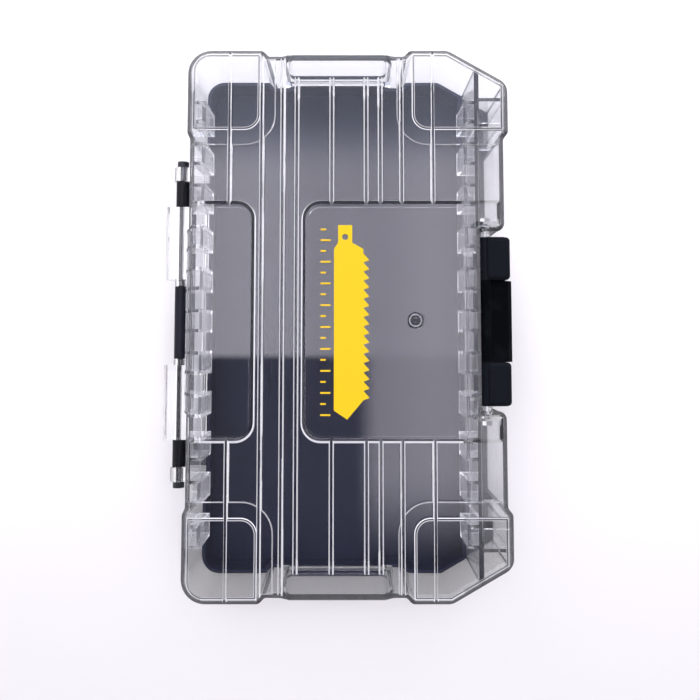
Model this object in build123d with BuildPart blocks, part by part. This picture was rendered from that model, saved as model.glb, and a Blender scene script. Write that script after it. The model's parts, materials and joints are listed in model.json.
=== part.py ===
"""Saw blade storage case: a shallow dark base tray, a deep clear lid on two hinge pins and a hooked latch.

X runs across the case, from the hinge side at -X to the latch side at +X. Y runs along it and Z is up.
The origin lies on the underside of the base. The lid is modelled shut and the latch hooked.
"""

from build123d import *
import os

# ---------------------------------------------------------------- driving dimensions, mm
# Both shells
storage_width = 135.8  # storage box over its two long walls
body_length = 250.4  # storage box over its two end walls
hinge_wall_x = -74.3  # outer face of the long wall on the hinge side
base_height = 20.0  # underside to parting plane
lid_height = 42.0  # parting plane to the tops of the ribs
wall = 2.2  # side walls
skin = 2.2  # floor of the base and top of the lid

# Outline seen from above
bumper_length = 39.5  # corner bumpers along Y
bumper_reach = 2.8  # bumpers and end blocks past the end walls
bumper_proud = 1.4  # hinge-side bumpers past the long wall
hinge_bumper_width = 35.2
latch_bumper_width = 46.0
corner_radius = 11.0  # the two corners on the hinge side
corner_cut_x = 28.0  # slanted corners on the latch side
corner_cut_y = 16.0
corner_cut_radius = 7.0
end_block_width = 46.0  # block in the middle of each end
end_block_x = -5.0
notch_run = 2.8  # slope beside the notches in the ends
step_run = 3.2  # slope where a bumper leaves a long wall
edge_radius = 2.6
notch_radius = 2.0
shoulder_depth = 11.4  # hollow shoulders each side of the latch, past the latch wall
shoulder_bumper_proud = 2.4
shoulder_radius = 4.0
recess_length = 83.2  # gap between the shoulders that the latch sits in

# Lid
crown = 2.0  # bevel round the lid's top
deck_border = 2.2  # plain margin between the lid's edge and what stands on its top
shelf_drop = 7.0  # step down over each end block
shelf_depth = 13.0  # its length along Y
shelf_corner = 3.0
shelf_margin = 1.0  # plain margin round it
rib_height = 1.6
rib_width = 2.6  # at the foot
rib_side_angle = 62.0
rib_positions = (-55.3, -40.3, -30.5, -23.9, -7.6, 8.4, 15.0, 24.9, 39.5)
pad_steps = ((6.6, 0.5), (0.0, 1.0))  # corner pads: spread past the bumper and height
pad_slope = 70.0  # their sides, off the upright
pad_radius = 8.0
raised_foot = 0.3  # upright foot under the sloping sides of pads and panels
panel_length = 111.6  # raised panels
panel_height = 1.5
panel_slope = 58.0  # their sides, off the upright
panel_inset = 3.0  # room under them, in from their feet
panel_radius = 9.0
hinge_panel_end_x = -42.7
latch_panel_start_x = -21.6
gate_x = 31.0  # moulding gate in the latch-side panel
gate_radius = 4.6
gate_dimple_radius = 1.5
gate_depth = 0.7
hinge_pad_length = 86.0  # thicker stretch of the long wall over the hinge
hinge_pad_proud = 1.5
hinge_pad_rise = 6.0  # its foot over the parting plane
hinge_pad_drop = 5.0  # its top below the lid's top
pocket_ribs = (90.0, 104.0)  # cross walls in the shoulders, from the middle of the case
pocket_rib_width = 1.6
pocket_rib_rise = 4.0

# Divider teeth inside the lid, hollow from below
tooth_count = 11
tooth_pitch = 19.6
tooth_width = 10.8
tooth_depth = 5.1
tooth_wall = 1.6
tooth_length = 22.0

# Base
lip_height = 2.0  # lip of the base inside the lid
lip_gap = 0.5
lip_thickness = 1.2
lip_root = 3.0
floor_panel_height = 0.8
groove_width = 2.6
groove_depth = 0.8
groove_length = 170.0
groove_positions = (-52.0, -30.0, 20.0, 42.0)
foot_chamfer = 1.2

# Hinge
hinge_offset = 11.8  # pin axis outside the hinge wall
hinge_rise = 2.0  # pin axis over the parting plane
hinge_barrel_radius = 3.3
hinge_pin_radius = 1.5
pin_play = 0.05
pin_inset = 9.0  # length of pin inside the centre barrel
knuckle_gap = 0.3
centre_barrel_length = 37.0
arm_gap = 0.6  # under the lid's edge
arm_root = 8.0  # depth of the barrels' arms at the base's wall
hinge_block_start = 21.6
hinge_block_length = 37.0
hinge_block_reach = 6.6
hinge_block_rise = 8.0
hinge_block_corner = 1.6
hinge_block_gap = 0.3
end_barrel_length = 14.0
end_knob_length = 7.0
end_knob_radius = 4.3
pin_head_radius = 2.9
pin_head_length = 3.0
pin_head_gap = 0.3

# Latch
latch_end_gap = 0.6  # between the latch and the bosses beside it
latch_pivot_offset = 3.9  # pin axis outside the latch wall
latch_pivot_rise = 29.0  # over the parting plane
latch_barrel_radius = 2.8
latch_pin_radius = 1.5
latch_reach = 15.6  # outer face of the latch's ears past the latch wall
latch_plate = 2.8
ear_rise = 0.8  # top of the ears over the barrel
ear_setback = 1.0  # their inner edge outside the pin axis
latch_corner = 2.0
latch_foot_z = 6.4
grip_length = 39.0  # thumb grip between the ears
grip_proud = 2.4
grip_scoop = 6.0  # fall of its top from the barrel to the front
grip_corner = 2.6
latch_web = 2.2
hook_thickness = 3.0
hook_engagement = 2.0
hook_bevel = 1.5
catch_play = 0.3
catch_depth = 6.7
catch_height = 2.0
catch_slope = 6.0
catch_length = 70.0
boss_length = 1.0  # bosses between the shoulders and the latch
boss_seat = 5.0  # depth of the pin's seats inside the shoulders

# ---------------------------------------------------------------- worked out from these
parting_z = base_height
top_z = base_height + lid_height
deck_z = top_z - rib_height
ceiling_z = deck_z - skin
shelf_z = deck_z - shelf_drop
body_end = body_length / 2
end_y = body_end + bumper_reach
bumper_y = end_y - bumper_length
latch_wall_x = hinge_wall_x + storage_width
middle_x = hinge_wall_x + storage_width / 2
shoulder_x = latch_wall_x + shoulder_depth
hinge_bumper_x = hinge_wall_x - bumper_proud
latch_bumper_x = shoulder_x + shoulder_bumper_proud
hinge_bumper_in = hinge_bumper_x + hinge_bumper_width
latch_bumper_in = latch_bumper_x - latch_bumper_width
block_left = end_block_x - end_block_width / 2
block_right = end_block_x + end_block_width / 2
recess_y = recess_length / 2

root_x = hinge_wall_x + wall / 2  # middle of the hinge-side wall, where the hinge parts root
hinge_x = hinge_wall_x - hinge_offset
hinge_z = parting_z + hinge_rise
block_end_y = hinge_block_start + hinge_block_length
end_barrel_y = block_end_y + knuckle_gap
knob_y = end_barrel_y + end_barrel_length + knuckle_gap
pin_head_y = knob_y + end_knob_length + pin_head_gap

pivot_x = latch_wall_x + latch_pivot_offset
pivot_z = parting_z + latch_pivot_rise
ear_x = latch_wall_x + latch_reach
grip_x = ear_x + grip_proud
latch_y = recess_y - boss_length - latch_end_gap
latch_length = 2 * latch_y
grip_y = grip_length / 2
latch_top_z = pivot_z + latch_barrel_radius
ear_top_z = latch_top_z + ear_rise
hook_top_z = latch_foot_z + hook_thickness
catch_z = hook_top_z + catch_play
catch_x = latch_wall_x + catch_depth

os.makedirs("parts", exist_ok=True)


def export(part, name):
    """Labels a finished piece and writes it to its own STEP file."""
    part.label = name
    export_step(part, f"parts/{name}.step")


# ---------------------------------------------------------------- shared profiles
# Corner points of the half outline with their rounding, from the hinge side round to the latch side.
outline_corners = (
    (hinge_wall_x, bumper_y - step_run, edge_radius),
    (hinge_bumper_x, bumper_y, edge_radius),
    (hinge_bumper_x, end_y, corner_radius),
    (hinge_bumper_in, end_y, edge_radius),
    (hinge_bumper_in + notch_run, body_end, notch_radius),
    (block_left - notch_run, body_end, notch_radius),
    (block_left, end_y, edge_radius),
    (block_right, end_y, edge_radius),
    (block_right + notch_run, body_end, notch_radius),
    (latch_bumper_in - notch_run, body_end, notch_radius),
    (latch_bumper_in, end_y, edge_radius),
    (latch_bumper_x - corner_cut_x, end_y, corner_cut_radius),
    (latch_bumper_x, end_y - corner_cut_y, corner_cut_radius),
    (latch_bumper_x, bumper_y, edge_radius),
    (shoulder_x, bumper_y - step_run, edge_radius),
    (shoulder_x, recess_y, shoulder_radius),
    (latch_wall_x, recess_y, notch_radius),
)
outline_points = [(x, y) for x, y, radius in outline_corners]

with BuildSketch() as outline:
    with BuildLine():
        FilletPolyline(
            (hinge_wall_x, 0),
            *outline_points,
            (latch_wall_x, 0),
            radius=[radius for x, y, radius in outline_corners],
        )
        mirror(about=Plane.XZ)
    make_face()


def inner_outline(inset):
    """The outline drawn in by an even distance, rounded at the two hinge-side corners alone."""
    with BuildSketch() as inner:
        with BuildLine():
            Polyline((hinge_wall_x, 0), *outline_points, (latch_wall_x, 0))
            mirror(about=Plane.XZ)
        make_face()
        offset(amount=-inset, kind=Kind.INTERSECTION)
        hinge_side = inner.vertices().group_by(Axis.X)[0].sort_by(Axis.Y)
        fillet([hinge_side[0], hinge_side[-1]], corner_radius - inset)
    return inner.sketch


# Room inside the walls: the storage box, and one pocket in each shoulder.
with BuildSketch() as hollow:
    add(inner_outline(wall))
    with Locations((latch_wall_x - wall / 2, 0)):
        Rectangle(wall, 2 * end_y, mode=Mode.SUBTRACT)

with BuildSketch() as storage:
    add(hollow.faces().sort_by(Axis.X)[0])

# What may stand on the lid's top: all of it but a margin and the two end shelves.
shelf_locations = [(end_block_x, side * (end_y - shelf_depth / 2)) for side in (-1, 1)]
with BuildSketch() as deck:
    add(inner_outline(deck_border))
    with Locations(*shelf_locations):
        Rectangle(
            end_block_width + 2 * shelf_margin,
            shelf_depth + 2 * shelf_margin,
            mode=Mode.SUBTRACT,
        )

with BuildSketch() as panels:
    for start, end in (
        (2 * hinge_wall_x, hinge_panel_end_x),
        (latch_panel_start_x, 2 * latch_wall_x),
    ):
        with Locations(((start + end) / 2, 0)):
            RectangleRounded(end - start, panel_length, panel_radius)
    add(deck.sketch, mode=Mode.INTERSECT)

raised_shapes = [(panels.sketch, panel_height, panel_slope)]
for spread, height in pad_steps:
    with BuildSketch() as pads:
        for side in (-1, 1):
            for start, end in (
                (2 * hinge_wall_x, hinge_bumper_in + spread),
                (latch_bumper_in - spread, 2 * latch_wall_x),
            ):
                with Locations(((start + end) / 2, side * (bumper_y - spread + end_y))):
                    RectangleRounded(end - start, 2 * end_y, pad_radius + spread)
        add(deck.sketch, mode=Mode.INTERSECT)
    raised_shapes.append((pads.sketch, height, pad_slope))

with BuildSketch() as panel_rooms:
    offset(panels.sketch, amount=-panel_inset)
    with Locations((middle_x, 0)):
        Rectangle(
            storage_width - 2 * (wall + tooth_depth), panel_length, mode=Mode.INTERSECT
        )

# Teeth along both long walls: blocks rooted in the walls, each with a pocket.
tooth_rows = [(row - (tooth_count - 1) / 2) * tooth_pitch for row in range(tooth_count)]
tooth_roots = (
    (hinge_wall_x + wall, Align.MIN, -wall / 2),
    (latch_wall_x - wall, Align.MAX, wall / 2),
)
with BuildSketch() as teeth:
    for x, side, root in tooth_roots:
        with Locations(*[(x + root, y) for y in tooth_rows]):
            Rectangle(wall / 2 + tooth_depth, tooth_width, align=(side, Align.CENTER))

with BuildSketch() as tooth_pockets:
    for x, side, root in tooth_roots:
        with Locations(*[(x, y) for y in tooth_rows]):
            Rectangle(
                tooth_depth - tooth_wall,
                tooth_width - 2 * tooth_wall,
                align=(side, Align.CENTER),
            )

# ---------------------------------------------------------------- base
with BuildPart() as base:
    with BuildSketch():
        add(outline.sketch)
    extrude(amount=base_height)
    chamfer(base.faces().sort_by(Axis.Z)[0].edges(), foot_chamfer)
    with BuildSketch(Plane.XY.offset(skin)):
        add(hollow.sketch)
    extrude(amount=base_height, mode=Mode.SUBTRACT)
    # Raised panels on the floor, under those of the lid
    with BuildSketch(Plane.XY.offset(skin)):
        add(panels.sketch)
        add(storage.sketch, mode=Mode.INTERSECT)
    extrude(amount=floor_panel_height)
    # Lip that stands up inside the lid
    with BuildSketch(Plane.XY.offset(parting_z - lip_root)):
        add(storage.sketch)
        offset(storage.sketch, amount=-(lip_gap + lip_thickness), mode=Mode.SUBTRACT)
    extrude(amount=lip_root)
    with BuildSketch(Plane.XY.offset(parting_z)):
        offset(storage.sketch, amount=-lip_gap, mode=Mode.ADD)
        offset(storage.sketch, amount=-(lip_gap + lip_thickness), mode=Mode.SUBTRACT)
    extrude(amount=lip_height)
    # Catch that the latch hooks under
    with BuildSketch(Plane.XZ.offset(-catch_length / 2)):
        with BuildLine():
            Polyline(
                (latch_wall_x - wall / 2, catch_z),
                (catch_x, catch_z),
                (catch_x, catch_z + catch_height),
                (latch_wall_x - wall / 2, catch_z + catch_height + catch_slope),
                close=True,
            )
        make_face()
    extrude(amount=catch_length)
    # Hinge barrels and the arms that carry them
    for start, end in (
        (-centre_barrel_length / 2, centre_barrel_length / 2),
        (end_barrel_y, end_barrel_y + end_barrel_length),
        (-end_barrel_y - end_barrel_length, -end_barrel_y),
    ):
        with BuildSketch(Plane.XZ.offset(-end)):
            with BuildLine():
                Polyline(
                    (root_x, parting_z - arm_gap),
                    (hinge_x, parting_z - arm_gap),
                    (hinge_x, hinge_z - hinge_barrel_radius),
                    (root_x, parting_z - arm_root),
                    close=True,
                )
            make_face()
            with Locations((hinge_x, hinge_z)):
                Circle(hinge_barrel_radius)
                Circle(hinge_pin_radius + pin_play, mode=Mode.SUBTRACT)
        extrude(amount=end - start)
    # Grooves along the underside
    with BuildSketch():
        with Locations(*[(x, 0) for x in groove_positions]):
            Rectangle(groove_width, groove_length)
    extrude(amount=groove_depth, mode=Mode.SUBTRACT)

export(base.part, "base")

# ---------------------------------------------------------------- lid
# Ribs along the whole lid, with sloping sides
with BuildPart() as ribs:
    with BuildSketch(Plane.XZ.offset(-end_y)):
        with Locations(*[(x, deck_z) for x in rib_positions]):
            Trapezoid(rib_width, rib_height, rib_side_angle, align=(Align.CENTER, Align.MIN))
    extrude(amount=2 * end_y)
    with BuildSketch(Plane.XY.offset(deck_z)):
        add(deck.sketch)
        offset(panels.sketch, amount=-panel_inset, mode=Mode.SUBTRACT)
    extrude(amount=rib_height, mode=Mode.INTERSECT)

with BuildPart() as lid:
    with BuildSketch(Plane.XY.offset(parting_z)):
        add(outline.sketch)
    extrude(amount=deck_z - parting_z)
    chamfer(lid.faces().sort_by(Axis.Z)[-1].edges(), crown)
    # Thicker wall over the hinge
    with BuildSketch(Plane.XY.offset(parting_z + hinge_pad_rise)):
        with Locations((root_x, 0)):
            Rectangle(
                wall / 2 + hinge_pad_proud, hinge_pad_length, align=(Align.MAX, Align.CENTER)
            )
    extrude(amount=lid_height - hinge_pad_rise - hinge_pad_drop)
    chamfer(
        lid.faces().filter_by(Axis.X).sort_by(Axis.X)[0].edges(), hinge_pad_proud / 2
    )
    with BuildSketch(Plane.XY.offset(shelf_z)):
        with Locations((end_block_x, -end_y), (end_block_x, end_y)):
            RectangleRounded(end_block_width, 2 * shelf_depth, shelf_corner)
            Rectangle(end_block_width + 2 * notch_run, 2 * bumper_reach)
    extrude(amount=shelf_drop, mode=Mode.SUBTRACT)
    # Stepped pads over the corners, and the panels: each has a short upright foot under its sloping sides
    for shape, height, slope in raised_shapes:
        for floor, rise, angle in ((0, raised_foot, 0), (raised_foot, height - raised_foot, slope)):
            with BuildSketch(Plane.XY.offset(deck_z + floor)):
                add(shape)
            extrude(amount=rise, taper=angle)
    add(ribs.part)
    # Room under the top: lower over the shelves, higher under the panels
    with BuildSketch(Plane.XY.offset(parting_z)):
        add(hollow.sketch)
    extrude(amount=shelf_z - skin - parting_z, mode=Mode.SUBTRACT)
    with BuildSketch(Plane.XY.offset(shelf_z - skin)):
        add(hollow.sketch)
        with Locations(*shelf_locations):
            Rectangle(
                end_block_width + 2 * wall, shelf_depth + 2 * wall, mode=Mode.SUBTRACT
            )
    extrude(amount=shelf_drop, mode=Mode.SUBTRACT)
    with BuildSketch(Plane.XY.offset(ceiling_z)):
        add(panel_rooms.sketch)
    extrude(amount=panel_height, mode=Mode.SUBTRACT)
    # Hollow teeth, and cross walls in the shoulders
    with BuildSketch(Plane.XY.offset(ceiling_z - tooth_length)):
        add(teeth.sketch)
        add(tooth_pockets.sketch, mode=Mode.SUBTRACT)
    extrude(amount=tooth_length + skin / 2)
    with BuildSketch(Plane.XY.offset(parting_z + pocket_rib_rise)):
        for y in pocket_ribs:
            with Locations((latch_wall_x - wall / 2, y), (latch_wall_x - wall / 2, -y)):
                Rectangle(
                    shoulder_depth + wall, pocket_rib_width, align=(Align.MIN, Align.CENTER)
                )
    extrude(amount=ceiling_z - parting_z - pocket_rib_rise)
    with Locations((gate_x, 0, deck_z + panel_height)):
        CounterBoreHole(gate_dimple_radius, gate_radius, gate_depth, 2 * gate_depth)
    # Hinge: two blocks with short necks, and a knob at each end
    for side in (-1, 1):
        for start, end, radius in (
            (centre_barrel_length / 2 + knuckle_gap, hinge_block_start, hinge_barrel_radius),
            (knob_y, knob_y + end_knob_length, end_knob_radius),
        ):
            with BuildSketch(Plane.XZ.offset(-max(side * start, side * end))):
                with Locations(((hinge_x + root_x) / 2, hinge_z)):
                    Rectangle(root_x - hinge_x, hinge_rise)
                with Locations((hinge_x, hinge_z)):
                    Circle(radius)
            extrude(amount=end - start)
        with BuildSketch(
            Plane.XZ.offset(-max(side * hinge_block_start, side * block_end_y))
        ) as block:
            with BuildLine():
                Polyline(
                    (root_x, hinge_z + hinge_block_rise),
                    (hinge_x - hinge_block_reach, hinge_z + hinge_block_rise),
                    (hinge_x - hinge_block_reach, parting_z),
                    (hinge_x - hinge_barrel_radius, hinge_z - hinge_barrel_radius),
                    (hinge_x + hinge_pin_radius, hinge_z - hinge_barrel_radius),
                    (hinge_wall_x - hinge_block_gap, parting_z),
                    (root_x, parting_z),
                    close=True,
                )
            make_face()
            fillet(block.vertices().group_by(Axis.X)[0], hinge_block_corner)
        extrude(amount=hinge_block_length)
    with Locations((hinge_x, 0, hinge_z)):
        Cylinder(
            hinge_pin_radius + pin_play,
            2 * pin_head_y,
            rotation=(90, 0, 0),
            mode=Mode.SUBTRACT,
        )
    # Bosses that carry the latch pin
    for side in (-1, 1):
        with BuildSketch(Plane.XZ.offset(-side * (recess_y - boss_length))):
            with Locations((pivot_x, pivot_z)):
                Circle(latch_barrel_radius)
        extrude(amount=-side * (boss_length + boss_seat + wall))
        with BuildSketch(Plane.XZ.offset(-side * (recess_y - boss_length))):
            with Locations((pivot_x, pivot_z)):
                Circle(latch_pin_radius + pin_play)
        extrude(amount=-side * (boss_length + boss_seat), mode=Mode.SUBTRACT)

export(lid.part, "lid")

# ---------------------------------------------------------------- hinge pins
pin_inner_y = centre_barrel_length / 2 - pin_inset
for side, name in ((1, "hinge_pin_rear"), (-1, "hinge_pin_front")):
    with BuildPart() as hinge_pin:
        with BuildSketch(Plane.XZ.offset(-side * pin_inner_y)):
            with Locations((hinge_x, hinge_z)):
                Circle(hinge_pin_radius)
        extrude(amount=-side * (pin_head_y - pin_inner_y))
        with BuildSketch(Plane.XZ.offset(-side * pin_head_y)):
            with Locations((hinge_x, hinge_z)):
                Circle(pin_head_radius)
        extrude(amount=-side * pin_head_length)
    export(hinge_pin.part, name)

# ---------------------------------------------------------------- latch
with BuildPart() as latch:
    # An ear at each end: a web from the pin over to the front, which turns down to the foot
    for side in (-1, 1):
        with BuildSketch(Plane.XZ.offset(-max(side * latch_y, side * grip_y))) as ear:
            with BuildLine():
                Polyline(
                    (pivot_x, latch_top_z),
                    (pivot_x + ear_setback, latch_top_z),
                    (pivot_x + ear_setback, ear_top_z),
                    (ear_x, ear_top_z),
                    (ear_x, latch_foot_z),
                    (ear_x - latch_plate, latch_foot_z),
                    (ear_x - latch_plate, ear_top_z - latch_plate),
                    (pivot_x, ear_top_z - latch_plate),
                    close=True,
                )
            make_face()
            fillet(ear.vertices().group_by(Axis.X)[-1].sort_by(Axis.Y)[-1], latch_corner)
        extrude(amount=latch_y - grip_y)
    fillet(latch.edges().filter_by(Axis.Z).group_by(Axis.X)[-1], latch_corner)
    # Thumb grip between them, which falls away from the barrel and stands out in front
    with BuildSketch(Plane.XZ.offset(-grip_y)) as grip:
        with BuildLine():
            Polyline(
                (pivot_x, latch_top_z - latch_plate / 2),
                (ear_x, latch_top_z - grip_scoop),
                (grip_x, latch_top_z - grip_scoop - grip_corner),
                (grip_x, latch_foot_z + grip_proud),
                (ear_x, latch_foot_z),
                (ear_x - latch_plate, latch_foot_z),
                (ear_x - latch_plate, latch_top_z - grip_scoop - latch_plate),
                (pivot_x, pivot_z - latch_plate / 2),
                close=True,
            )
        make_face()
        fillet(grip.vertices().group_by(Axis.X)[-1], grip_corner)
    extrude(amount=grip_length)
    with BuildSketch(Plane.XZ.offset(-latch_y)):
        with Locations((pivot_x, pivot_z)):
            Circle(latch_barrel_radius)
    extrude(amount=latch_length)
    # Hook along the foot
    with BuildSketch(Plane.XZ.offset(-(catch_length / 2 - catch_play))):
        with BuildLine():
            Polyline(
                (catch_x - hook_engagement, hook_top_z),
                (catch_x - hook_engagement, latch_foot_z + hook_bevel),
                (catch_x - hook_engagement + hook_bevel, latch_foot_z),
                (ear_x - latch_plate / 2, latch_foot_z),
                (ear_x - latch_plate / 2, hook_top_z),
                close=True,
            )
        make_face()
    extrude(amount=catch_length - 2 * catch_play)
    # Webs at the two ends
    for side in (-1, 1):
        with BuildSketch(Plane.XZ.offset(-max(side * latch_y, side * (latch_y - latch_web)))):
            with BuildLine():
                Polyline(
                    (pivot_x, latch_top_z),
                    (ear_x - latch_plate, latch_top_z),
                    (ear_x - latch_plate / 2, latch_foot_z),
                    (ear_x - 2 * latch_plate, latch_foot_z),
                    (pivot_x, pivot_z - latch_barrel_radius),
                    close=True,
                )
            make_face()
        extrude(amount=latch_web)
    with Locations((pivot_x, 0, pivot_z)):
        Cylinder(
            latch_pin_radius + pin_play,
            2 * latch_length,
            rotation=(90, 0, 0),
            mode=Mode.SUBTRACT,
        )

export(latch.part, "latch")

# ---------------------------------------------------------------- latch pin
with BuildPart() as latch_pin:
    with Locations((pivot_x, 0, pivot_z)):
        Cylinder(latch_pin_radius, recess_length + 2 * boss_seat - 2 * catch_play, rotation=(90, 0, 0))

export(latch_pin.part, "latch_pin")
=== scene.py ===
"""Saw blade case with a clear lid: its finishes and small marks, and the table and light it is shown in.

The shells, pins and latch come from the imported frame. Each operator here dresses pieces or makes new ones.
Lengths are in metres and angles in radians unless a property says otherwise.
"""

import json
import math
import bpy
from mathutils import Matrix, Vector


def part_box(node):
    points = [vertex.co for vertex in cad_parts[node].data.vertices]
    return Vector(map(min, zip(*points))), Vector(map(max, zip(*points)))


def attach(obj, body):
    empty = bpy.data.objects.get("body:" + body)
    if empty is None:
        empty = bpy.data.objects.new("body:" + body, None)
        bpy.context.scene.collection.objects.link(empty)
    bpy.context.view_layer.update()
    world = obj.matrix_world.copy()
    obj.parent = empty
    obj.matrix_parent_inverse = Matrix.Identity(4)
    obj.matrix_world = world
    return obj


bl_info = {
    "name": "Saw blade case",
    "version": (1, 0, 0),
    "blender": (4, 5, 0),
    "location": "3D View > Sidebar > Case",
    "description": "Dresses the clear-lidded saw blade case and sets the stage for it",
    "category": "Object",
}

import bmesh
import bpy
from bpy.props import FloatProperty, FloatVectorProperty, PointerProperty
from mathutils import Matrix, Vector

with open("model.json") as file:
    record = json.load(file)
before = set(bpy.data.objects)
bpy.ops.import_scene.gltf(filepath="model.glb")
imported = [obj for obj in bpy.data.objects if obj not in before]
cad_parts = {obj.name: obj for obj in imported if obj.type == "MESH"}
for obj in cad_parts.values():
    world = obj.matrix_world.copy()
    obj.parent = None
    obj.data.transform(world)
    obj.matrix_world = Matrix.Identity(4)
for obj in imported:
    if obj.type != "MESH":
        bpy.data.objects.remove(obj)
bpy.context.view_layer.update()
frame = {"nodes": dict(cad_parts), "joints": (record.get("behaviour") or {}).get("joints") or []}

MM = 0.001
IMAGE_SIZE = 700  # pixels, both ways
PANEL_DROP = 0.1 * MM  # from the tops of the ribs down to the raised panels
SOFT = 0.1 * MM  # over which one finish turns into the next

# Where faces look up or down, as the Z of their normals
UPRIGHT = (-0.3, 0.3)
DOWNWARD = -0.9
RIB_SIDES = (0.3, 0.65)
CROWN_BEVEL = (0.66, 0.76)
RAISED_EDGES = (0.78, 0.965)
PAD_EDGES = 0.89  # the raised edges that look further up than this are the pads' edges


# ---------------------------------------------------------------- sizes and colours
class MarkSettings(bpy.types.PropertyGroup):
    """Blade and measuring ticks printed on the lid's large panel."""

    centre: FloatVectorProperty(
        name="Centre", description="Middle of the mark from above", default=(-1.4 * MM, -0.5 * MM), size=2,
        unit="LENGTH",
    )
    length: FloatProperty(name="Length", description="Mark along the case", default=89 * MM, unit="LENGTH")
    width: FloatProperty(name="Width", description="Mark across the case", default=22.5 * MM, unit="LENGTH")
    blade_width: FloatProperty(
        name="Blade width", description="Blade from its back to its gullets", default=13.5 * MM, unit="LENGTH"
    )
    tooth_pitch: FloatProperty(
        name="Tooth pitch", description="From tip to tip", default=4.2 * MM, unit="LENGTH"
    )
    tooth_height: FloatProperty(
        name="Tooth height", description="Tip to gullet", default=2.8 * MM, unit="LENGTH"
    )
    tang_length: FloatProperty(
        name="Tang length", description="Narrow end", default=11 * MM, unit="LENGTH"
    )
    tang_width: FloatProperty(
        name="Tang width", description="Across the narrow end", default=6.5 * MM, unit="LENGTH"
    )
    tang_hole: FloatProperty(name="Tang hole", description="Radius", default=1.4 * MM, unit="LENGTH")
    tick_pitch: FloatProperty(name="Tick pitch", description="Between ticks", default=5 * MM, unit="LENGTH")
    tick_width: FloatProperty(name="Tick width", description="Stroke", default=0.8 * MM, unit="LENGTH")
    tick_length: FloatProperty(name="Tick length", description="Long ticks", default=4.6 * MM, unit="LENGTH")
    film: FloatProperty(name="Film", description="Thickness of the ink", default=0.06 * MM, unit="LENGTH")
    ink: FloatVectorProperty(
        name="Ink", description="Colour of the print", default=(0.9, 0.59, 0.008), size=3, subtype="COLOR",
        min=0, max=1,
    )


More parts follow.
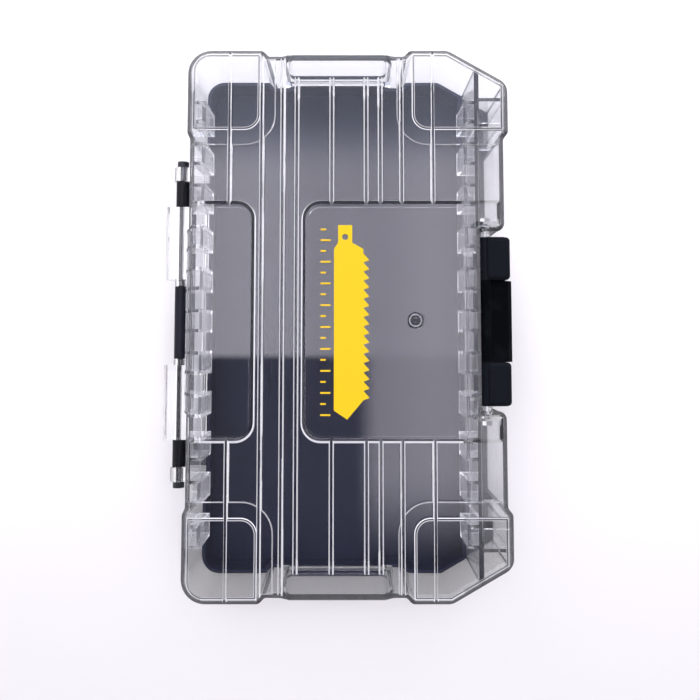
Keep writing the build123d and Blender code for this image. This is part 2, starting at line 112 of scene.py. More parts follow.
class PlasticSettings(bpy.types.PropertyGroup):
    """Colours and gloss of the moulded parts."""

    clear_tint: FloatVectorProperty(
        name="Clear tint", description="Tint of the clear lid", default=(0.975, 0.978, 0.985), size=3,
        subtype="COLOR", min=0, max=1,
    )
    shadow_tint: FloatVectorProperty(
        name="Shadow tint", description="Light that the lid lets through to its shadow",
        default=(0.965, 0.968, 0.975), size=3, subtype="COLOR", min=0, max=1,
    )
    clear_index: FloatProperty(name="Clear index", description="Refractive index of the lid", default=1.52)
    deck_depth: FloatProperty(
        name="Deck depth", description="Deck below the top of the ribs", default=1.6 * MM, unit="LENGTH"
    )
    pad_step: FloatProperty(
        name="Pad step", description="Height of the low step round the corner pads", default=0.5 * MM,
        unit="LENGTH",
    )
    # Painted highlight: the pads' edges carry it again between these heights
    pad_brow: FloatVectorProperty(
        name="Pad brow", description="Heights between which the pads' edges turn matt again",
        default=(0.8 * MM, 0.9 * MM), size=2, unit="LENGTH",
    )
    # Share of that painted highlight
    pad_painted_highlight: FloatProperty(name="Pad matt", description="Matt share of that", default=0.55, min=0, max=1)
    # Painted highlight: frosted white on the sloped edges up to this height
    edge_line: FloatProperty(
        name="Edge line", description="Height up to which sloped edges are ground", default=0.66 * MM,
        unit="LENGTH",
    )
    # The painted highlight reaches this much higher on edges turned to -Y
    edge_lean: FloatProperty(
        name="Edge lean", description="How much higher that is on edges turned to -Y", default=0.6 * MM,
        unit="LENGTH",
    )
    # Across the case, the painted highlight and painted shade of the sloped edges lie between these
    edges_between: FloatVectorProperty(
        name="Edges between", description="Where sloped edges have their lines, across the case",
        default=(-66 * MM, 52 * MM), size=2, unit="LENGTH",
    )
    # Painted highlight on the ribs' sides, between these heights
    rib_line: FloatVectorProperty(
        name="Rib line", description="Heights over the deck between which the ribs' sides are ground",
        default=(0.36 * MM, 1.22 * MM), size=2, unit="LENGTH",
    )
    # Colour of the painted shade on the sloped edges
    edge_shade: FloatVectorProperty(
        name="Edge shade", description="Dark that the sloped edges show", default=(0.012, 0.012, 0.018),
        size=3, subtype="COLOR", min=0, max=1,
    )
    crown_depth: FloatProperty(
        name="Crown depth", description="Bevel round the lid's top, down from the deck", default=2.1 * MM,
        unit="LENGTH",
    )
    # Share of painted shade on the crown bevel
    crown_shade: FloatProperty(
        name="Crown shade", description="Dark share of that bevel", default=0.5, min=0, max=1
    )
    teeth_between: FloatVectorProperty(
        name="Teeth between", description="Where the divider teeth root, across the case",
        default=(-72.0 * MM, 59.5 * MM), size=2, unit="LENGTH",
    )
    tooth_depth: FloatProperty(
        name="Tooth depth", description="Reach of the divider teeth from there", default=9 * MM, unit="LENGTH"
    )
    teeth_foot: FloatProperty(
        name="Teeth foot", description="Lower end of the divider teeth", default=34 * MM, unit="LENGTH"
    )
    # Height of the painted light at the teeth's feet
    foot_height: FloatProperty(
        name="Foot height", description="Matt line at their feet", default=3 * MM, unit="LENGTH"
    )
    teeth_end: FloatProperty(
        name="Teeth end", description="End of their rows from the middle", default=104 * MM, unit="LENGTH"
    )
    # Share of painted light on the teeth
    tooth_painted_light: FloatProperty(
        name="Tooth haze", description="Matt share of the teeth", default=0.08, min=0, max=1
    )
    # More painted light near the teeth's feet
    tooth_line: FloatProperty(
        name="Tooth line", description="More of it near their feet", default=0.4, min=0, max=1
    )
    # Frosted white that paints highlights and light on the lid, and gives its walls a light haze
    painted_white_colour: FloatVectorProperty(
        name="Matt edge", description="Colour of the ground edges", default=(0.93, 0.93, 0.96), size=3,
        subtype="COLOR", min=0, max=1,
    )
    # Cover of the painted highlights on the lid's top edges
    painted_highlight_cover: FloatProperty(
        name="Matt share", description="Cover of the ground edges", default=0.95, min=0, max=1
    )
    wall_haze: FloatProperty(
        name="Wall haze", description="Matt share of upright walls", default=0.05, min=0, max=1
    )
    # Share of painted light on the wall behind the hinge
    hinge_painted_light: FloatProperty(
        name="Hinge haze", description="Matt share of the wall behind the hinge", default=0.25, min=0, max=1
    )
    hinge_wall: FloatProperty(
        name="Hinge wall", description="Thickness of that wall", default=4.5 * MM, unit="LENGTH"
    )
    # Heights of the stretch of painted light behind the hinge
    hinge_heights: FloatVectorProperty(
        name="Hinge heights", description="Lower and upper end of its matt stretch",
        default=(30 * MM, 52 * MM), size=2, unit="LENGTH",
    )
    hinge_half: FloatProperty(
        name="Hinge half", description="End of that stretch from the middle", default=42 * MM, unit="LENGTH"
    )
    base_colour: FloatVectorProperty(
        name="Base colour", description="Dark plastic of the tray", default=(0.0105, 0.0132, 0.031), size=3,
        subtype="COLOR", min=0, max=1,
    )
    # Painted shade: the hinge is painted far blacker than the rest of the tray, out to this reach
    hinge_reach: FloatProperty(
        name="Hinge reach", description="How far in from its axis the hinge is duller", default=10 * MM,
        unit="LENGTH",
    )
    latch_colour: FloatVectorProperty(
        name="Latch colour", description="Black plastic of the latch", default=(0.007, 0.0085, 0.012), size=3,
        subtype="COLOR", min=0, max=1,
    )
    gate_centre: FloatVectorProperty(
        name="Gate", description="Moulding gate seen from above", default=(31.0 * MM, 0.0), size=2,
        unit="LENGTH",
    )
    gate_depth: FloatProperty(
        name="Gate depth", description="Dish round the gate", default=0.7 * MM, unit="LENGTH"
    )
    # The grip is also painted darker than the ears, as shade in its recess
    grip_length: FloatProperty(
        name="Grip length", description="Rougher stretch of the latch, along Y", default=39 * MM,
        unit="LENGTH",
    )


class StageSettings(bpy.types.PropertyGroup):
    """Camera, table and light."""

    distance: FloatProperty(
        name="Distance", description="Camera over the lid's top", default=320.6 * MM, unit="LENGTH"
    )
    offset: FloatVectorProperty(
        name="Offset", description="Camera from the middle of the case", default=(0.9 * MM, -8.8 * MM),
        size=2, unit="LENGTH",
    )
    tilt: FloatProperty(
        name="Tilt", description="Camera off the vertical", default=math.radians(3.65), subtype="ANGLE"
    )
    focal_pixels: FloatProperty(name="Focal length", description="In pixels of the image", default=700.0)
    axis_row: FloatProperty(name="Axis row", description="Image row that the lens points at", default=295.0)
    room_level: FloatProperty(name="Room", description="Light from all round on matt surfaces", default=0.66)
    room_gloss: FloatProperty(
        name="Room in gloss", description="The room as gloss and clear parts show it", default=1.4
    )
    front_dimming: FloatProperty(
        name="Front dimming", description="Less of it towards the front right", default=1.0
    )
    overhead_level: FloatProperty(name="Overhead", description="The room straight above", default=0.13)
    ceiling_height: FloatProperty(
        name="Ceiling height", description="Over the table", default=1.3, unit="LENGTH"
    )
    ceiling_level: FloatProperty(name="Ceiling", description="Brightness of the lit ceiling", default=2.25)
    # Painted light: white that the table adds of its own
    table_glow: FloatProperty(
        name="Table glow", description="White that the table adds of its own", default=0.3
    )
    window_level: FloatProperty(name="Window", description="Brightness of the window", default=2.6)
    window_place: FloatVectorProperty(
        name="Window place", description="Middle of the window", default=(0.0, 0.95, 0.65), size=3,
        subtype="TRANSLATION",
    )
    window_size: FloatVectorProperty(
        name="Window size", description="Its width and height", default=(1.4, 0.7), size=2, unit="LENGTH"
    )


SETTINGS = {"case_mark": MarkSettings, "case_plastic": PlasticSettings, "case_stage": StageSettings}


# ---------------------------------------------------------------- shader maths
class Value:
    """An output of a node tree, or what an expression on such outputs makes."""

    def __init__(self, tree, socket):
        self.tree = tree
        self.socket = socket

    def math(self, operation, *inputs):
        """What one Math node makes of its inputs."""
        made = self.tree.nodes.new("ShaderNodeMath")
        made.operation = operation
        for slot, value in zip(made.inputs, inputs):
            connect(self.tree, slot, value)
        return Value(self.tree, made.outputs[0])

    def __add__(self, other):
        return self.math("ADD", self, other)

    def __radd__(self, other):
        return self.math("ADD", other, self)

    def __sub__(self, other):
        return self.math("SUBTRACT", self, other)

    def __rsub__(self, other):
        return self.math("SUBTRACT", other, self)

    def __mul__(self, other):
        return self.math("MULTIPLY", self, other)

    def __rmul__(self, other):
        return self.math("MULTIPLY", other, self)

    def __pow__(self, other):
        return self.math("POWER", self, other)

    def above(self, level):
        return self.math("GREATER_THAN", self, level)

    def size(self):
        return self.math("ABSOLUTE", self)

    def largest(self, other):
        return self.math("MAXIMUM", self, other)


def shown_socket(sockets, key):
    """A socket by its number, or the one of that name that the node's settings show."""
    if isinstance(key, int):
        return sockets[key]
    return next(socket for socket in sockets if socket.name == key and socket.enabled)


def connect(tree, slot, value):
    """Links a value to a socket, or sets the socket to a number or colour."""
    if isinstance(value, Value):
        tree.links.new(value.socket, slot)
    elif slot.type == "RGBA" and len(value) == 3:
        slot.default_value = (*value, 1.0)
    else:
        slot.default_value = value


class Graph:
    """Adds nodes to the tree of a material or a world."""

    def __init__(self, owner):
        owner.use_nodes = True
        self.owner = owner
        self.tree = owner.node_tree
        self.tree.nodes.clear()

    def node(self, kind, settings=None, sockets=None, output=0):
        """Adds one node: its settings first, then its sockets. Gives the chosen output."""
        made = self.tree.nodes.new(kind)
        for key, value in (settings or {}).items():
            setattr(made, key, value)
        for key, value in (sockets or {}).items():
            connect(self.tree, shown_socket(made.inputs, key), value)
        return Value(self.tree, shown_socket(made.outputs, output)) if made.outputs else None

    def place(self):
        """Place on the piece, in metres, which stays with the piece as it moves."""
        return self.node("ShaderNodeTexCoord", output="Object")

    def parts(self, vector):
        """The X, Y and Z of a vector."""
        return [self.node("ShaderNodeSeparateXYZ", {}, {"Vector": vector}, output=axis) for axis in range(3)]

    def scaled(self, vector, factors):
        """Vector times one factor for each axis."""
        return self.node("ShaderNodeVectorMath", {"operation": "MULTIPLY"}, {0: vector, 1: factors})

    def noise(self, vector, scale, detail=3.0):
        """Noise from 0 to 1 whose grains are about 1 / scale metres."""
        sockets = {"Vector": vector, "Scale": scale, "Detail": detail, "Roughness": 0.55}
        return self.node("ShaderNodeTexNoise", {}, sockets)

    def rays(self, kind):
        """1 for camera, glossy, transmission or shadow rays and 0 for the others."""
        return self.node("ShaderNodeLightPath", output=f"Is {kind} Ray")

    def rise(self, value, start, end):
        """0 below the start, 1 above the end and smooth between them."""
        return self.node(
            "ShaderNodeMapRange",
            {"interpolation_type": "SMOOTHSTEP"},
            {"Value": value, "From Min": start, "From Max": end},
        )

    def band(self, value, start, end, soft):
        """1 from the start to the end, falling to 0 over the soft width outside them."""
        return self.rise(value, start - soft, start) * (1.0 - self.rise(value, end, end + soft))

    def blend(self, factor, first, second):
        """Colour between two others."""
        sockets = {"Factor": factor, "A": first, "B": second}
        return self.node("ShaderNodeMix", {"data_type": "RGBA"}, sockets, output="Result")

    def bump(self, height, distance):
        """Normal of a surface whose grain is that high, in metres."""
        return self.node("ShaderNodeBump", {}, {"Height": height, "Distance": distance, "Strength": 1.0})

    def principled(self, **sockets):
        """Principled surface, its sockets named with underscores for spaces."""
        named = {name.replace("_", " "): value for name, value in sockets.items()}
        return self.node("ShaderNodeBsdfPrincipled", {}, named)

    def mixed(self, factor, first, second):
        """Surface between two others."""
        return self.node("ShaderNodeMixShader", {}, {0: factor, 1: first, 2: second})

    def finish(self, surface, output="ShaderNodeOutputMaterial"):
        """Links the surface to the output and gives back the material or world."""
        self.node(output, {}, {"Surface": surface})
        return self.owner


def tinted(colour, factor):
    """Colour with each of its levels times the factor."""
    return tuple(factor * level for level in colour)


def lid_top():
    """Height of the tops of the lid's ribs."""
    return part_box("lid")[1].z


# ---------------------------------------------------------------- finishes
def deck_relief(graph, place, settings):
    """Shares of the lid's top that carry a painted highlight in frosted white, and that carry painted shade.

    The ribs' sides carry a painted highlight. The sloped edges of pads and panels carry a painted highlight
    at their foot, reaching higher on the panels' edges turned to -Y, and painted shade above it, deeper on
    edges turned to +Y.
    The pads' edges carry the painted highlight again near their top. The bevel round the top carries painted
    shade.
    """
    height = graph.parts(place)[2] - (lid_top() - settings.deck_depth)
    _, turn, upward = graph.parts(graph.node("ShaderNodeTexCoord", output="Normal"))
    # Painted highlight on the ribs' sides
    rib_highlight = graph.band(upward, *RIB_SIDES, 0.04) * graph.band(height, *settings.rib_line, SOFT)
    sloped = graph.band(upward, *RAISED_EDGES, 0.01) * height.above(0.0)
    on_pad = upward.above(PAD_EDGES)
    # The painted highlight reaches higher on edges turned to -Y
    lean = turn * settings.edge_lean * (1.0 - on_pad)
    blur = 0.4 * SOFT
    foot = 1.0 - graph.rise(height + lean, settings.edge_line - blur, settings.edge_line + blur)
    low_step = on_pad * (1.0 - height.above(settings.pad_step))
    brow = on_pad * graph.rise(height, *settings.pad_brow) * settings.pad_painted_highlight
    between = graph.band(graph.parts(place)[0], *settings.edges_between, MM)
    lined = between.largest(on_pad * settings.pad_painted_highlight)
    # Painted highlight along the sloped edges
    line = sloped * (foot * (1.0 - low_step * 0.6)).largest(brow)
    # Painted shade above the foot, deeper on edges turned to +Y
    to_back = 0.72 + turn * 0.35
    shade = sloped * (1.0 - foot) * to_back
    # Painted shade on the crown bevel, deeper on its sides turned to -Y
    to_front = 0.65 - turn * 0.5
    bevel = graph.band(upward, *CROWN_BEVEL, 0.03) * graph.band(height, -settings.crown_depth, 0.0, SOFT)
    return rib_highlight.largest(line * lined), shade * lined + bevel * to_front * settings.crown_shade


def behind_hinge(graph, place, settings):
    """Share of the thicker stretch of wall behind the hinge, which carries painted light."""
    across, along, height = graph.parts(place)
    inner = settings.teeth_between[0]
    in_wall = graph.band(across, inner - settings.hinge_wall, inner, SOFT)
    beyond = graph.rise(along.size(), settings.hinge_half, settings.hinge_half + 2 * MM)
    return in_wall * graph.band(height, *settings.hinge_heights, 2 * MM) * (1.0 - beyond)


def wall_haze_and_painted_light(graph, place, settings):
    """Share of the walls that is frosted white: a light haze everywhere, and painted light behind the hinge
    and on the teeth.

    The teeth carry the most painted light near their feet and under them, and on the hinge's side.
    """
    across, along, height = graph.parts(place)
    upward = graph.parts(graph.node("ShaderNodeTexCoord", output="Normal"))[2]
    upright = graph.band(upward, *UPRIGHT, 0.05)
    first, last = settings.teeth_between
    inside = graph.band(across, first, last, 2 * SOFT)
    beside = graph.band(across, first + settings.tooth_depth, last - settings.tooth_depth, 2 * SOFT)
    rows = 1.0 - along.size().above(settings.teeth_end)
    on_teeth = inside * (1.0 - beside) * rows * height.above(settings.teeth_foot)
    line_top = settings.teeth_foot + settings.foot_height
    low = 1.0 - graph.rise(height, line_top, line_top + MM)
    # Painted light on the teeth, most near their feet and under them
    teeth = on_teeth * (settings.tooth_painted_light + low * settings.tooth_line)
    under = on_teeth * (1.0 - upward.above(DOWNWARD)) * low
    # More painted light on the hinge's side, and behind the hinge
    hinge_side = 1.0 - across.above(0.0)
    hinge = behind_hinge(graph, place, settings) * settings.hinge_painted_light
    on_walls = settings.wall_haze + teeth * (0.7 + hinge_side * 0.7) + hinge
    return (upright * on_walls).largest(under * 0.9)


def clear_plastic(settings):
    """Polished clear moulding with a light haze and hairlines; painted highlights in frosted white and
    painted shade lie along the edges on its top.
    """
    graph = Graph(bpy.data.materials.new("clear_plastic"))
    place = graph.place()
    haze = graph.noise(place, 45.0)
    hairlines = graph.noise(graph.scaled(place, (900.0, 25.0, 900.0)), 1.0, detail=2.0)
    polished = graph.principled(
        Base_Color=settings.clear_tint,
        Roughness=haze * 0.012 + hairlines.above(0.68) * 0.05,
        IOR=settings.clear_index,
        Transmission_Weight=1.0,
    )
    # Frosted white that paints highlights on the lid, and light on its teeth and behind the hinge
    white_speckle = graph.noise(place, 1800.0, detail=2.0)
    painted_white_surface = graph.principled(
        Base_Color=graph.blend(white_speckle * 0.25, settings.painted_white_colour, tinted(settings.painted_white_colour, 0.7)),
        Roughness=0.45 + white_speckle * 0.2,
    )
    painted_highlight, shade = deck_relief(graph, place, settings)
    # Painted shade on the sloped edges and the crown bevel
    dark = graph.principled(
        Base_Color=settings.edge_shade,
        Roughness=0.3 + white_speckle * 0.2,
        Specular_IOR_Level=0.1,
    )
    surface = graph.mixed(painted_highlight * settings.painted_highlight_cover, graph.mixed(shade, polished, dark), painted_white_surface)
    # Painted light on the teeth and behind the hinge, over a light haze on all walls
    surface = graph.mixed(wall_haze_and_painted_light(graph, place, settings), surface, painted_white_surface)
    through = graph.node("ShaderNodeBsdfTransparent", {}, {"Color": settings.shadow_tint})
    return graph.finish(graph.mixed(graph.rays("Shadow"), surface, through))


def base_plastic(settings, hinge_start):
    """Dark satin moulding with a fine grain and a few rubbed patches; blacker on the hinge, where shade is
    painted into its colour.
    """
    graph = Graph(bpy.data.materials.new("base_plastic"))
    place = graph.place()
    grain = graph.noise(place, 2600.0, detail=2.0)
    rubbed = graph.rise(graph.noise(place, 28.0), 0.45, 0.75)
    inner = graph.rise(graph.parts(place)[0], hinge_start, hinge_start + MM)
    # Painted shade: the hinge is painted far blacker than the rest of the tray
    colour = graph.blend(inner, tinted(settings.base_colour, 0.15), settings.base_colour)
    return graph.finish(
        graph.principled(
            Base_Color=graph.blend(rubbed * 0.3, colour, tinted(settings.base_colour, 1.8)),
            Roughness=0.5 - inner * 0.16 + grain * 0.14 + rubbed * 0.06,
            Specular_IOR_Level=0.12,
            Coat_Weight=0.15 - inner * 0.15,
            Coat_Roughness=0.12,
            Normal=graph.bump(grain, 0.03 * MM),
        )
    )


def latch_plastic(settings):
    """Black moulding: satin ears and a duller spark-eroded grip between them, whose colour is painted darker
    as shade in its recess.
    """
    graph = Graph(bpy.data.materials.new("latch_plastic"))
    place = graph.place()
    grain = graph.noise(place, 3200.0)
    rubbed = graph.rise(graph.noise(place, 70.0), 0.5, 0.8)
    half = settings.grip_length / 2
    satin = graph.rise(graph.parts(place)[1].size(), half - SOFT, half + SOFT)
    # Painted shade: the grip is painted far darker than the ears
    colour = graph.blend(satin, tinted(settings.latch_colour, 0.2), settings.latch_colour)
    return graph.finish(
        graph.principled(
            Base_Color=graph.blend(rubbed * 0.4, colour, tinted(settings.latch_colour, 1.8)),
            Roughness=0.66 + grain * 0.16 - rubbed * 0.08 - satin * 0.25,
            Specular_IOR_Level=0.03,
            Normal=graph.bump(grain, 0.04 * MM),
        )
    )


def pin_plastic(settings):
    """Smooth black rod with fine drawing lines round it."""
    graph = Graph(bpy.data.materials.new("pin_plastic"))
    lines = graph.noise(graph.scaled(graph.place(), (300.0, 2500.0, 300.0)), 1.0, detail=2.0)
    return graph.finish(
        graph.principled(
            Base_Color=graph.blend(lines, settings.latch_colour, tinted(settings.latch_colour, 1.6)),
            Roughness=0.3 + lines * 0.15,
            Specular_IOR_Level=0.35,
            Normal=graph.bump(lines, 0.02 * MM),
        )
    )


STEEL = ((0.42, 0.42, 0.43), (0.56, 0.56, 0.57))  # dark and light mottles


def pin_steel():
    """Drawn steel wire: fine lines along it and a slight mottling."""
    graph = Graph(bpy.data.materials.new("pin_steel"))
    place = graph.place()
    lines = graph.noise(graph.scaled(place, (6000.0, 60.0, 6000.0)), 1.0, detail=2.0)
    return graph.finish(
        graph.principled(
            Base_Color=graph.blend(graph.noise(place, 220.0), *STEEL),
            Metallic=1.0,
            Roughness=0.24 + lines * 0.16,
            Normal=graph.bump(lines, 0.01 * MM),
        )
    )


def print_ink(settings):
    """Opaque pad-printed ink with a faint mottle."""
    graph = Graph(bpy.data.materials.new("print_ink"))
    mottling = graph.noise(graph.place(), 900.0, detail=4.0)
    return graph.finish(
        graph.principled(
            Base_Color=graph.blend(mottling * 0.3, settings.ink, tinted(settings.ink, 0.85)),
            Roughness=0.4 + mottling * 0.2,
            Specular_IOR_Level=0.2,
            Normal=graph.bump(mottling, 0.01 * MM),
        )
    )


PAPER = ((0.925, 0.908, 0.914), (0.94, 0.923, 0.929))  # between and on its fibres
# Painted shadow colour that the paper turns towards -Y
PAPER_SHADOW = (0.58, 0.568, 0.54)  # towards -Y
# Colour of the painted light that the paper adds
PAPER_GLOW = (1.0, 0.985, 1.0)
# Where the paper's painted shadow fades and its painted light begins, along the case and, for the last one,
# out from its middle
SHADOW_FADE = (-0.15, -0.03)
GLOW_BEHIND = (-0.15, -0.05)
GLOW_SEEN = (-0.25, 0.1)
GLOW_FAR = (0.5, 1.6)


def table_paper(settings):
    """Plain pale paper with a painted shadow towards -Y, strongest where it is seen through clear parts.

    It adds painted light of its own: towards +Y behind clear parts, in gloss and in plain view, and far out,
    where it whitens the backdrop.
    """
    graph = Graph(bpy.data.materials.new("table_paper"))
    place = graph.place()
    fibres = graph.noise(place, 700.0)
    across, along, _ = graph.parts(place)
    clear = graph.rays("Transmission")
    # Painted shadow towards -Y, most of it where the paper is seen through clear parts
    painted_shadow = (1.0 - graph.rise(along, *SHADOW_FADE)) * (clear * 0.82 + 0.18)
    paper = graph.principled(
        Base_Color=graph.blend(painted_shadow, graph.blend(fibres, *PAPER), PAPER_SHADOW),
        Roughness=0.9,
        Specular_IOR_Level=0.2,
    )
    # Painted light that the paper adds of its own, towards +Y and far out
    behind = clear.largest(graph.rays("Glossy")) * graph.rise(along, *GLOW_BEHIND)
    far = graph.rise((across**2.0 + along**2.0) ** 0.5, *GLOW_FAR) * 1.4
    seen = graph.rays("Camera") * (graph.rise(along, *GLOW_SEEN) * 0.4).largest(far)
    glow = behind.largest(seen) * settings.table_glow
    added = graph.node("ShaderNodeEmission", {}, {"Color": PAPER_GLOW, "Strength": glow})
    return graph.finish(graph.node("ShaderNodeAddShader", {}, {0: paper, 1: added}))


# ---------------------------------------------------------------- pieces
def dress(node_name, material):
    """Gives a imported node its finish."""
    node = frame["nodes"][node_name]
    node.data.materials.clear()
    node.data.materials.append(material)


def new_object(name, data):
    """Adds an object to the scene."""
    made = bpy.data.objects.new(name, data)
    bpy.context.scene.collection.objects.link(made)
    return made


def from_bmesh(name, shape, material):
    """Object of one material from a bmesh, which is freed."""
    mesh = bpy.data.meshes.new(name)
    shape.to_mesh(mesh)
    shape.free()
    mesh.materials.append(material)
    return new_object(name, mesh)


def flat_film(name, outlines, thickness):
    """A thin flat mesh from closed outlines; an outline inside another one is a hole."""
    curve = bpy.data.curves.new(name, "CURVE")
    curve.dimensions = "2D"
    curve.fill_mode = "BOTH"
    curve.extrude = thickness / 2
    for outline in outlines:
        spline = curve.splines.new("POLY")
        spline.points.add(len(outline) - 1)
        for point, (x, y) in zip(spline.points, outline):
            point.co = (x, y, 0.0, 1.0)
        spline.use_cyclic_u = True
    drawn = new_object(f"{name}_outline", curve)
    shown = drawn.evaluated_get(bpy.context.evaluated_depsgraph_get())
    mesh = bpy.data.meshes.new_from_object(shown)
    bpy.data.objects.remove(drawn)
    return new_object(name, mesh)


# Shares of the blade's width, its tooth pitch and a long tick
TANG_SIDE = 0.62  # outer side of the tang, from the blade's back
SLANT_ACROSS, SLANT_ALONG = 0.45, 0.3  # slanted tip
TOOTH_TIP = 0.75  # tip of a tooth, from its upper gullet
SHORT_TICK = 0.55


def blade_outline(settings, back):
    """Saw blade seen flat, its back to -X, its teeth to +X and its tang to +Y."""
    width, pitch = settings.blade_width, settings.tooth_pitch
    gullet = back + width
    end, tip = settings.length / 2, -settings.length / 2
    body_end = end - settings.tang_length
    shoulder = body_end + settings.tooth_height
    tang_out = back + TANG_SIDE * width
    tang_in = tang_out - settings.tang_width
    points = [(tang_in, end), (tang_out, end), (tang_out, shoulder), (gullet, body_end)]
    top = body_end - pitch / 2
    while top - pitch > tip + width / 2:
        points += [(gullet, top), (gullet + settings.tooth_height, top - TOOTH_TIP * pitch)]
        top -= pitch
    points += [(gullet, top), (back + SLANT_ACROSS * width, tip), (back, tip + SLANT_ALONG * width)]
    return [*points, (back, body_end), (tang_in, shoulder)]


def ring(centre, radius, count=24):
    """Points round a circle."""
    turns = [2 * math.pi * step / count for step in range(count)]
    return [(centre[0] + radius * math.cos(turn), centre[1] + radius * math.sin(turn)) for turn in turns]


def tick_outlines(settings, start):
    """Measuring ticks in a column, every second one shorter."""
    half = settings.tick_width / 2
    count = int(settings.length / settings.tick_pitch)
    outlines = []
    for number in range(count + 1):
        middle = (number - count / 2) * settings.tick_pitch
        end = start + settings.tick_length * (1.0 if number % 2 == 0 else SHORT_TICK)
        low, high = middle - half, middle + half
        outlines.append([(start, low), (end, low), (end, high), (start, high)])
    return outlines


def make_mark(settings):
    """The printed blade with its ticks, on top of the lid's large panel."""
    left = -settings.width / 2
    back = settings.width / 2 - settings.blade_width - settings.tooth_height
    hole = (
        back + TANG_SIDE * settings.blade_width - settings.tang_width / 2,
        settings.length / 2 - settings.tang_length / 2,
    )
    outlines = [
        blade_outline(settings, back),
        ring(hole, settings.tang_hole),
        *tick_outlines(settings, left),
    ]
    mark = flat_film("blade_mark", outlines, settings.film)
    panel_top = lid_top() - PANEL_DROP
    mark.data.transform(Matrix.Translation((*settings.centre, panel_top + settings.film / 2)))
    mark.data.materials.clear()
    mark.data.materials.append(print_ink(settings))
    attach(mark, "lid")


# Radius and height over the dish's floor, in mm: two rings, the rim and the underside
GATE_PROFILE = (
    (0.0, 0.2), (0.5, 0.52), (1.1, 0.14), (1.7, 0.6), (2.4, 0.14), (3.0, 0.12), (3.8, 0.66),
    (3.9, 0.66), (3.9, 0.02), (0.0, 0.02),
)
GATE_STEPS = 48


def make_gate(settings, material):
    """Ringed dish that the moulding gate leaves in the latch-side panel."""
    floor = lid_top() - PANEL_DROP - settings.gate_depth
    shape = bmesh.new()
    rings = []
    for radius, height in GATE_PROFILE:
        level = floor + height * MM
        if radius:
            points = ring(settings.gate_centre, radius * MM, GATE_STEPS)
            rings.append([shape.verts.new((x, y, level)) for x, y in points])
        else:
            rings.append([shape.verts.new((*settings.gate_centre, level))] * GATE_STEPS)
    for first, second in zip(rings, rings[1:]):
        for step in range(GATE_STEPS):
            corners = (first[step - 1], second[step - 1], second[step], first[step])
            shape.faces.new(dict.fromkeys(corners))
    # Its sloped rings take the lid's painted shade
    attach(from_bmesh("gate_mark", shape, material), "lid")


# ---------------------------------------------------------------- stage
TABLE_HALF = 3.0
CEILING_HALF = 0.8
ROOM_COLOUR = (1.0, 0.98, 1.02)
OVERHEAD = (0.86, 0.905)  # Z of the directions between which the room turns dim
CEILING_COLOURS = ((1.0, 0.965, 1.07), (0.92, 0.97, 1.2))  # over the case, and towards +Y
# Where the ceiling's light changes, along it from -Y to +Y
NEAR_START = (-0.5, -0.28)
LIGHT_START = (-0.056, -0.036)
LIGHT_COOLER = (0.34, 0.52)
LIGHT_FALL = (0.36, 0.50)
# And across it
NEAR_RIGHT = (0.01, 0.07)
LIGHT_SIDES = (0.06, 0.2)


def make_table(settings):
    """Level table that the case stands on."""
    shape = bmesh.new()
    bmesh.ops.create_grid(shape, x_segments=1, y_segments=1, size=TABLE_HALF)
    from_bmesh("table", shape, table_paper(settings))


def make_room(scene, settings):
    """Pale room all round, dim straight above, where the lid's top mirrors it."""
    graph = Graph(bpy.data.worlds.new("room"))
    to_right, to_back, upward = graph.parts(graph.node("ShaderNodeTexCoord", output="Generated"))
    overhead = graph.rise(upward, *OVERHEAD)
    front = graph.rise(to_right * 0.4 - to_back, 0.1, 0.7)
    mirrored = graph.rays("Glossy").largest(graph.rays("Transmission"))
    in_gloss = settings.room_gloss - front * settings.front_dimming - settings.room_level
    around = settings.room_level + mirrored * in_gloss
    around = around + graph.rays("Camera") * (1.0 - settings.room_level)
    level = around + overhead * (settings.overhead_level - around)
    shade = graph.node("ShaderNodeBackground", {}, {"Color": ROOM_COLOUR, "Strength": level})
    scene.world = graph.finish(shade, "ShaderNodeOutputWorld")


def ceiling_light(settings):
    """Light that starts over the case and goes on to +Y, with a fainter patch at the near right."""
    graph = Graph(bpy.data.materials.new("ceiling_light"))
    across, along, _ = graph.parts(graph.place())
    start = graph.rise(along, *LIGHT_START)
    middle = start * (1.0 - 0.6 * graph.rise(along, *LIGHT_FALL))
    to_right = graph.rise(across, *NEAR_RIGHT) * 0.8 + 0.03
    near = to_right * graph.rise(along, *NEAR_START) * (1.0 - start)
    sides = 1.0 + 0.25 * graph.rise(across.size(), *LIGHT_SIDES)
    level = settings.ceiling_level * sides * (middle + near) + settings.overhead_level
    colour = graph.blend(graph.rise(along, *LIGHT_COOLER), *CEILING_COLOURS)
    return graph.finish(graph.node("ShaderNodeEmission", {}, {"Color": colour, "Strength": level}))


def make_ceiling(settings):
    """Lit ceiling that the lid's top mirrors."""
    shape = bmesh.new()
    bmesh.ops.create_grid(shape, x_segments=1, y_segments=1, size=CEILING_HALF)
    bmesh.ops.reverse_faces(shape, faces=shape.faces)
    ceiling = from_bmesh("ceiling", shape, ceiling_light(settings))
    ceiling.location.z = settings.ceiling_height
    ceiling.visible_camera = False
    ceiling.visible_shadow = False


def area_light(name, place, target, size, radiance):
    """A rectangular panel of even brightness that the camera doesn't see."""
    lamp = bpy.data.lights.new(name, "AREA")
    lamp.shape = "RECTANGLE"
    lamp.size, lamp.size_y = size
    lamp.energy = radiance * size[0] * size[1] * math.pi
    light = new_object(name, lamp)
    light.location = place
    light.rotation_euler = (Vector(target) - Vector(place)).to_track_quat("-Z", "Y").to_euler()
    light.visible_camera = False


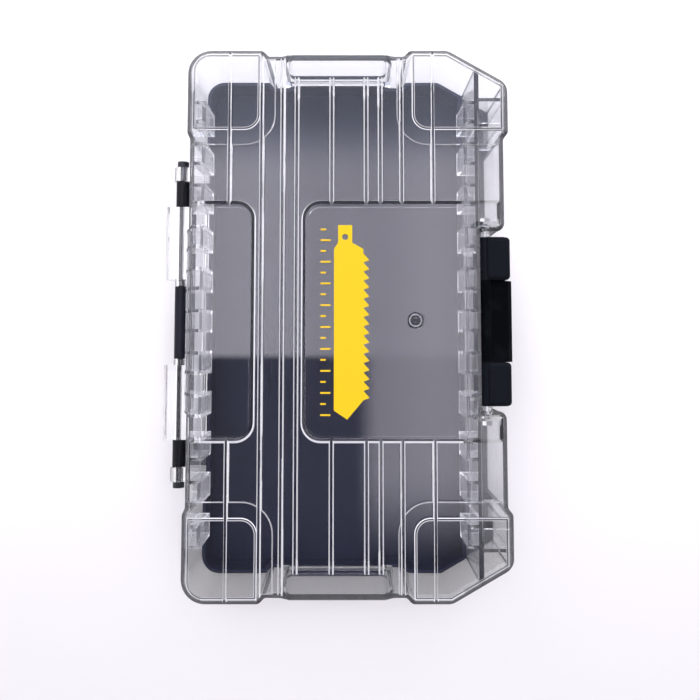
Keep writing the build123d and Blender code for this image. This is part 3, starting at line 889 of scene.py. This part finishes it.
def make_camera(scene, settings):
    """Looks down on the lid, leaning a little from the upright."""
    data = bpy.data.cameras.new("camera")
    data.sensor_width = 36.0
    data.lens = data.sensor_width * settings.focal_pixels / IMAGE_SIZE
    data.shift_y = (settings.axis_row - IMAGE_SIZE / 2) / IMAGE_SIZE
    data.clip_start = 0.01
    camera = new_object("camera", data)
    camera.location = (*settings.offset, lid_top() + settings.distance)
    camera.rotation_euler = (settings.tilt, 0.0, 0.0)
    scene.camera = camera


# ---------------------------------------------------------------- operators
class CASE_OT_shells(bpy.types.Operator):
    """Dress the clear lid and the dark base, and make the gate's rings"""

    bl_idname = "case.shells"
    bl_label = "Dress the shells"

    def execute(self, context):
        settings = context.scene.case_plastic
        clear = clear_plastic(settings)
        dress("lid", clear)
        make_gate(settings, clear)
        hinge = next(joint for joint in frame["joints"] if joint["name"] == "lid_hinge")
        dress("base", base_plastic(settings, hinge["pos_m"][0] + settings.hinge_reach))
        return {"FINISHED"}


class CASE_OT_latch(bpy.types.Operator):
    """Dress the latch"""

    bl_idname = "case.latch"
    bl_label = "Dress the latch"

    def execute(self, context):
        dress("latch", latch_plastic(context.scene.case_plastic))
        return {"FINISHED"}


class CASE_OT_pins(bpy.types.Operator):
    """Dress the hinge pins and the latch pin"""

    bl_idname = "case.pins"
    bl_label = "Dress the pins"

    def execute(self, context):
        for name in ("hinge_pin_rear", "hinge_pin_front"):
            dress(name, pin_plastic(context.scene.case_plastic))
        dress("latch_pin", pin_steel())
        return {"FINISHED"}


class CASE_OT_mark(bpy.types.Operator):
    """Print the blade and its ticks on the lid"""

    bl_idname = "case.mark"
    bl_label = "Print the mark"

    def execute(self, context):
        make_mark(context.scene.case_mark)
        return {"FINISHED"}


class CASE_OT_stage(bpy.types.Operator):
    """Make the table, the light and the camera"""

    bl_idname = "case.stage"
    bl_label = "Make the stage"

    def execute(self, context):
        settings = context.scene.case_stage
        make_table(settings)
        make_room(context.scene, settings)
        make_ceiling(settings)
        area_light("window", settings.window_place, (0, 0, 0), settings.window_size, settings.window_level)
        make_camera(context.scene, settings)
        context.scene.view_settings.view_transform = "Standard"
        return {"FINISHED"}


OPERATORS = (CASE_OT_shells, CASE_OT_latch, CASE_OT_pins, CASE_OT_mark, CASE_OT_stage)


class CASE_PT_panel(bpy.types.Panel):
    """Lists the case's operators and settings"""

    bl_idname = "CASE_PT_panel"
    bl_label = "Saw blade case"
    bl_space_type = "VIEW_3D"
    bl_region_type = "UI"
    bl_category = "Case"

    def draw(self, context):
        for name, group in SETTINGS.items():
            column = self.layout.column(align=True)
            for key in group.__annotations__:
                column.prop(getattr(context.scene, name), key)
        for operator in OPERATORS:
            self.layout.operator(operator.bl_idname)


def register():
    for made in (*SETTINGS.values(), *OPERATORS, CASE_PT_panel):
        bpy.utils.register_class(made)
    for name, group in SETTINGS.items():
        setattr(bpy.types.Scene, name, PointerProperty(type=group))


def unregister():
    for name in SETTINGS:
        delattr(bpy.types.Scene, name)
    for made in reversed((*SETTINGS.values(), *OPERATORS, CASE_PT_panel)):
        bpy.utils.unregister_class(made)


def main():
    register()
    bpy.ops.case.shells()
    bpy.ops.case.latch()
    bpy.ops.case.pins()
    bpy.ops.case.mark()
    bpy.ops.case.stage()


if __name__ == "__main__":
    main()
